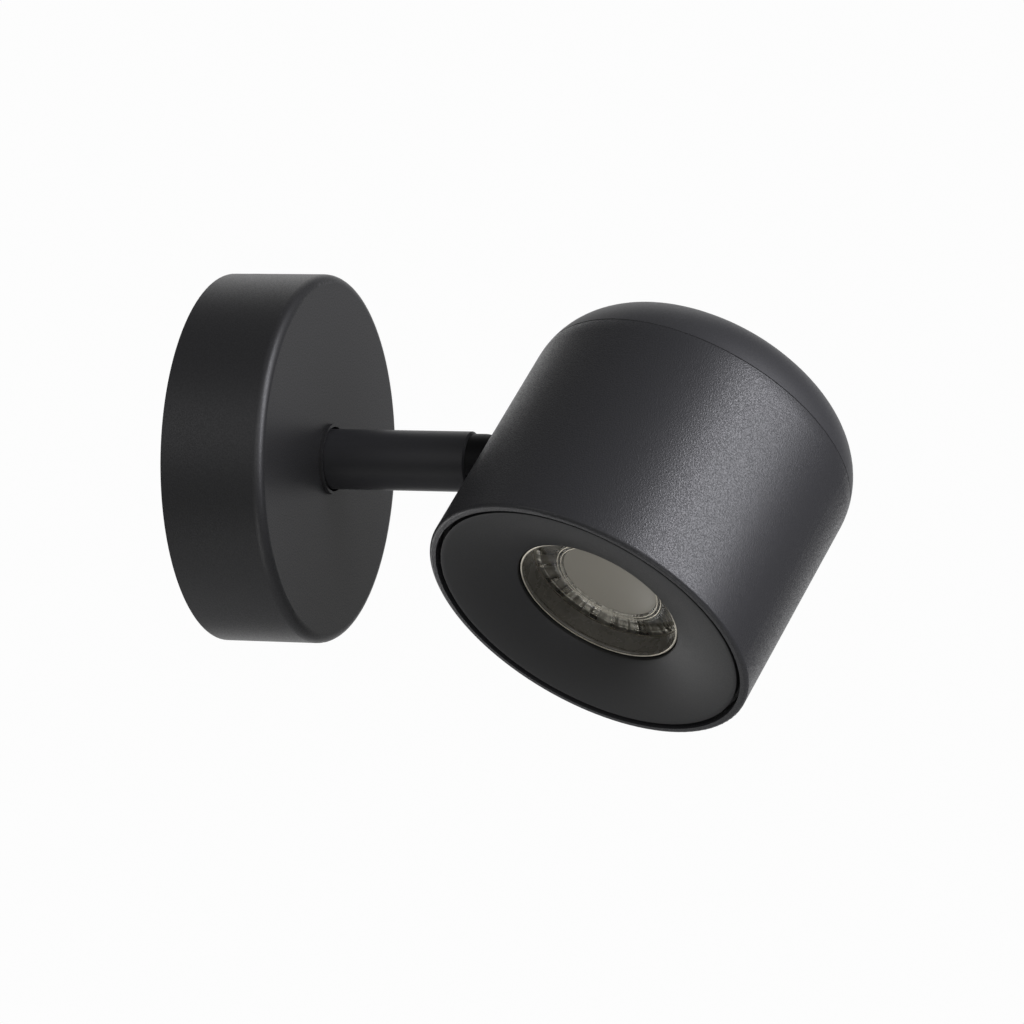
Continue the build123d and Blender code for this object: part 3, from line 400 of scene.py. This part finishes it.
lens = {"centre": 0.5, "disc": 13.2, "discDepth": 13.5, "dish": 1.4, "discSteps": 8,
        "discGap": 0.1, "discStep": 0.2, "ridge": 1.3, "land": 0.35, "ridgeDepth": 12.9,
        "dip": 0.35, "face": 12.8, "rimInner": 20.75, "rimOuter": 21.1, "radius": 22.4,
        "flangeBack": 14.8, "cone": 20.0, "foot": 11.0, "footEdge": 0.5, "backDepth": 22.8,
        "mouth": 8.0, "cavity": 7.2, "cavityDepth": 18.4, "roofRise": 1.0, "coneSteps": 8,
        "bulge": 1.4, "edge": 0.12, "margin": 0.1}
discRings = []
for i in range(lens["discSteps"] + 1):
    share = i / lens["discSteps"]
    discRings.append((lens["centre"] + (lens["disc"] - lens["centre"]) * share,
                      lens["discDepth"] + lens["dish"] * (1 - share ** 2)))
coneRings = []
for i in range(lens["coneSteps"] + 1):
    share = i / lens["coneSteps"]
    swell = lens["bulge"] * share * (1 - share)
    coneRadius = lens["cone"] + (lens["foot"] - lens["cone"]) * share
    coneDepth = lens["flangeBack"] + (lens["backDepth"] - lens["flangeBack"]) * share
    coneRings.append((coneRadius + swell, coneDepth + swell))
ridgeInner = lens["disc"] + lens["dip"]
ridgeOuter = ridgeInner + lens["ridge"]
tirLens = turned("tirLens", discRings + [
    (lens["disc"] + lens["discGap"], lens["discDepth"] + lens["discStep"]),
    (ridgeInner, lens["discDepth"] + lens["discStep"]),
    (ridgeInner, lens["ridgeDepth"]),
    (ridgeInner + lens["land"], lens["ridgeDepth"]),
    (ridgeInner + lens["land"], lens["ridgeDepth"] + lens["dip"]),
    (ridgeOuter - lens["land"], lens["ridgeDepth"] + lens["dip"]),
    (ridgeOuter - lens["land"], lens["ridgeDepth"]),
    (ridgeOuter, lens["ridgeDepth"]),
    (ridgeOuter, lens["face"] + lens["dip"]),
    (ridgeOuter + lens["dip"], lens["face"] + lens["dip"]),
    (ridgeOuter + 2 * lens["dip"], lens["face"]),
    (lens["rimInner"], lens["face"]),
    (lens["rimOuter"], lens["face"]),
    (lens["radius"], lens["face"]),
    (lens["radius"], lens["flangeBack"]),
] + coneRings + [
    (lens["mouth"], lens["backDepth"]),
    (lens["cavity"], lens["cavityDepth"]),
    (lens["centre"], lens["cavityDepth"] + lens["roofRise"]),
], lens["edge"])


def lensPart(radius, depth):
    # the milky disc, the mirror on the cone and the flange's back, then the painted highlight lines
    # on the ridge round the disc and on the rim of the face
    margin = lens["margin"]
    if radius < lens["disc"] and depth < lens["discDepth"] + lens["dish"] + margin:
        return 1
    if depth > lens["flangeBack"] - margin and radius > lens["foot"] - lens["footEdge"]:
        return 2
    # painted highlight: warm silver on the rim of the face and on the ridge, in place of glints on
    # the clear edges
    if lens["rimInner"] < radius < lens["rimOuter"] and depth < lens["face"] + margin:
        return 3
    if ridgeInner < radius < ridgeOuter and depth < lens["ridgeDepth"] + margin:
        return 3
    return 0


paint(tirLens, ["clearAcrylic", "frostedAcrylic", "ribbedMirror", "silverRimAndPaintedHighlight"], lensPart)
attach(tirLens, "head")
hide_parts("tir_lens")
print("front of the head made")

# The camera that was fitted to the photograph (degrees, m, and mm for the lens and sensor).
camera = {"azimuth": -70.37, "elevation": 3.83, "distance": 1.274, "lens": 170.03,
          "sensor": 36, "target": (0, -0.0588, 0), "right": 0.018877, "up": -0.013391}
azimuth, elevation = math.radians(camera["azimuth"]), math.radians(camera["elevation"])
back = Vector((math.sin(azimuth) * math.cos(elevation), -math.cos(azimuth) * math.cos(elevation),
               math.sin(elevation)))
right = Vector((math.cos(azimuth), math.sin(azimuth), 0))
up = back.cross(right)
bpy.ops.object.camera_add()
eye = bpy.context.object
eye.location = (Vector(camera["target"]) + back * camera["distance"] + right * camera["right"]
                + up * camera["up"])
eye.rotation_mode = "QUATERNION"
eye.rotation_quaternion = (-back).to_track_quat("-Z", "Y")
eye.data.lens = camera["lens"]
eye.data.sensor_width = camera["sensor"]
bpy.context.scene.camera = eye


def softbox(name, lamp):
    # from is the way to the lamp as the camera sees it: right, up and towards the viewer
    bpy.ops.object.light_add(type="AREA")
    box = bpy.context.object
    box.name = name
    x, y, z = lamp["from"]
    way = (right * x + up * y + back * z).normalized()
    box.location = Vector(camera["target"]) + way * lamp["distance"]
    box.rotation_mode = "QUATERNION"
    box.rotation_quaternion = way.to_track_quat("Z", "Y")
    box.data.shape = "RECTANGLE"
    box.data.size, box.data.size_y = lamp["size"]
    box.data.energy = lamp["watts"]
    box.data.color = linear(lamp["colour"])[:3]


lamps = {
    "keySoftbox": {"from": (0.65, 0.6, 0.47), "distance": 1.2, "size": (0.45, 0.45), "watts": 6.8,
                   "colour": "#f8f8ff"},
    "sideSoftbox": {"from": (0.85, 0.2, 0.49), "distance": 1.2, "size": (0.6, 0.6), "watts": 10,
                    "colour": "#f8f8ff"},
    "leftFill": {"from": (-0.7, 0.25, 0.6), "distance": 1.2, "size": (0.8, 0.8), "watts": 1.3,
                 "colour": "#fdfdff"},
    "frontFill": {"from": (0.1, 0.2, 1.0), "distance": 1.4, "size": (0.8, 0.8), "watts": 2.3,
                  "colour": "#ffffff"},
    "topFill": {"from": (-0.05, 0.7, -0.7), "distance": 1.2, "size": (0.8, 0.6), "watts": 0.9,
                "colour": "#ffffff"},
    "lowFill": {"from": (-0.25, -0.75, 0.6), "distance": 0.9, "size": (0.4, 0.4), "watts": 0.9,
                "colour": "#ffffff"},
    "backFill": {"from": (-0.65, -0.55, -0.5), "distance": 0.8, "size": (0.35, 0.35), "watts": 1.0,
                 "colour": "#ffffff"},
}
for name, lamp in lamps.items():
    softbox(name, lamp)

# A white backdrop stands behind the light and the rest of the room is dim. The camera sees
# white all round, and gloss and clear pieces show the backdrop and the room. edge is where the
# one turns into the other, as the cosine of the angle from the way the camera looks.
studio = {"white": 0.98, "room": 0.12, "ambient": 0.16, "edge": (0.74, 0.86)}
world = bpy.data.worlds.new("studio")
bpy.context.scene.world = world
world.use_nodes = True
tree = world.node_tree
tree.nodes.clear()
rays = addNode(tree, "ShaderNodeLightPath")
mirrored = addNode(tree, "ShaderNodeMath", {"operation": "MAXIMUM"}, {
    0: rays.outputs["Is Glossy Ray"], 1: rays.outputs["Is Transmission Ray"]})
way = addNode(tree, "ShaderNodeTexCoord").outputs["Generated"]
behindLight = addNode(tree, "ShaderNodeVectorMath", {"operation": "DOT_PRODUCT"}, {
    0: way, 1: tuple(-back)})
backdrop = addNode(tree, "ShaderNodeMapRange", {"interpolation_type": "SMOOTHSTEP"}, {
    "Value": behindLight.outputs["Value"], "From Min": studio["edge"][0],
    "From Max": studio["edge"][1], "To Min": studio["room"], "To Max": studio["white"]})
indirect = addNode(tree, "ShaderNodeMapRange", inputs={
    "Value": mirrored.outputs[0], "To Min": studio["ambient"],
    "To Max": backdrop.outputs["Result"]})
strength = addNode(tree, "ShaderNodeMapRange", inputs={
    "Value": rays.outputs["Is Camera Ray"], "To Min": indirect.outputs["Result"],
    "To Max": studio["white"]})
sky = addNode(tree, "ShaderNodeBackground", inputs={
    "Color": linear("#ffffff"), "Strength": strength.outputs["Result"]})
addNode(tree, "ShaderNodeOutputWorld", inputs={"Surface": sky.outputs[0]})

bpy.context.scene.view_settings.view_transform = "Standard"

floorPlan = {"height": -1.5, "size": 3.0, "colour": "#f4f4f4"}
bpy.ops.object.select_all(action="DESELECT")
bpy.ops.mesh.primitive_plane_add(size=floorPlan["size"], location=(0, 0, floorPlan["height"]))
floor = bpy.context.object
floor.name = "floor"
floorPaint, floorTree = newMaterial("paleFloor")
finishMaterial(floorTree, addNode(floorTree, "ShaderNodeBsdfDiffuse", inputs={
    "Color": linear(floorPlan["colour"])}))
floor.data.materials.append(floorPaint)
print("stage set")
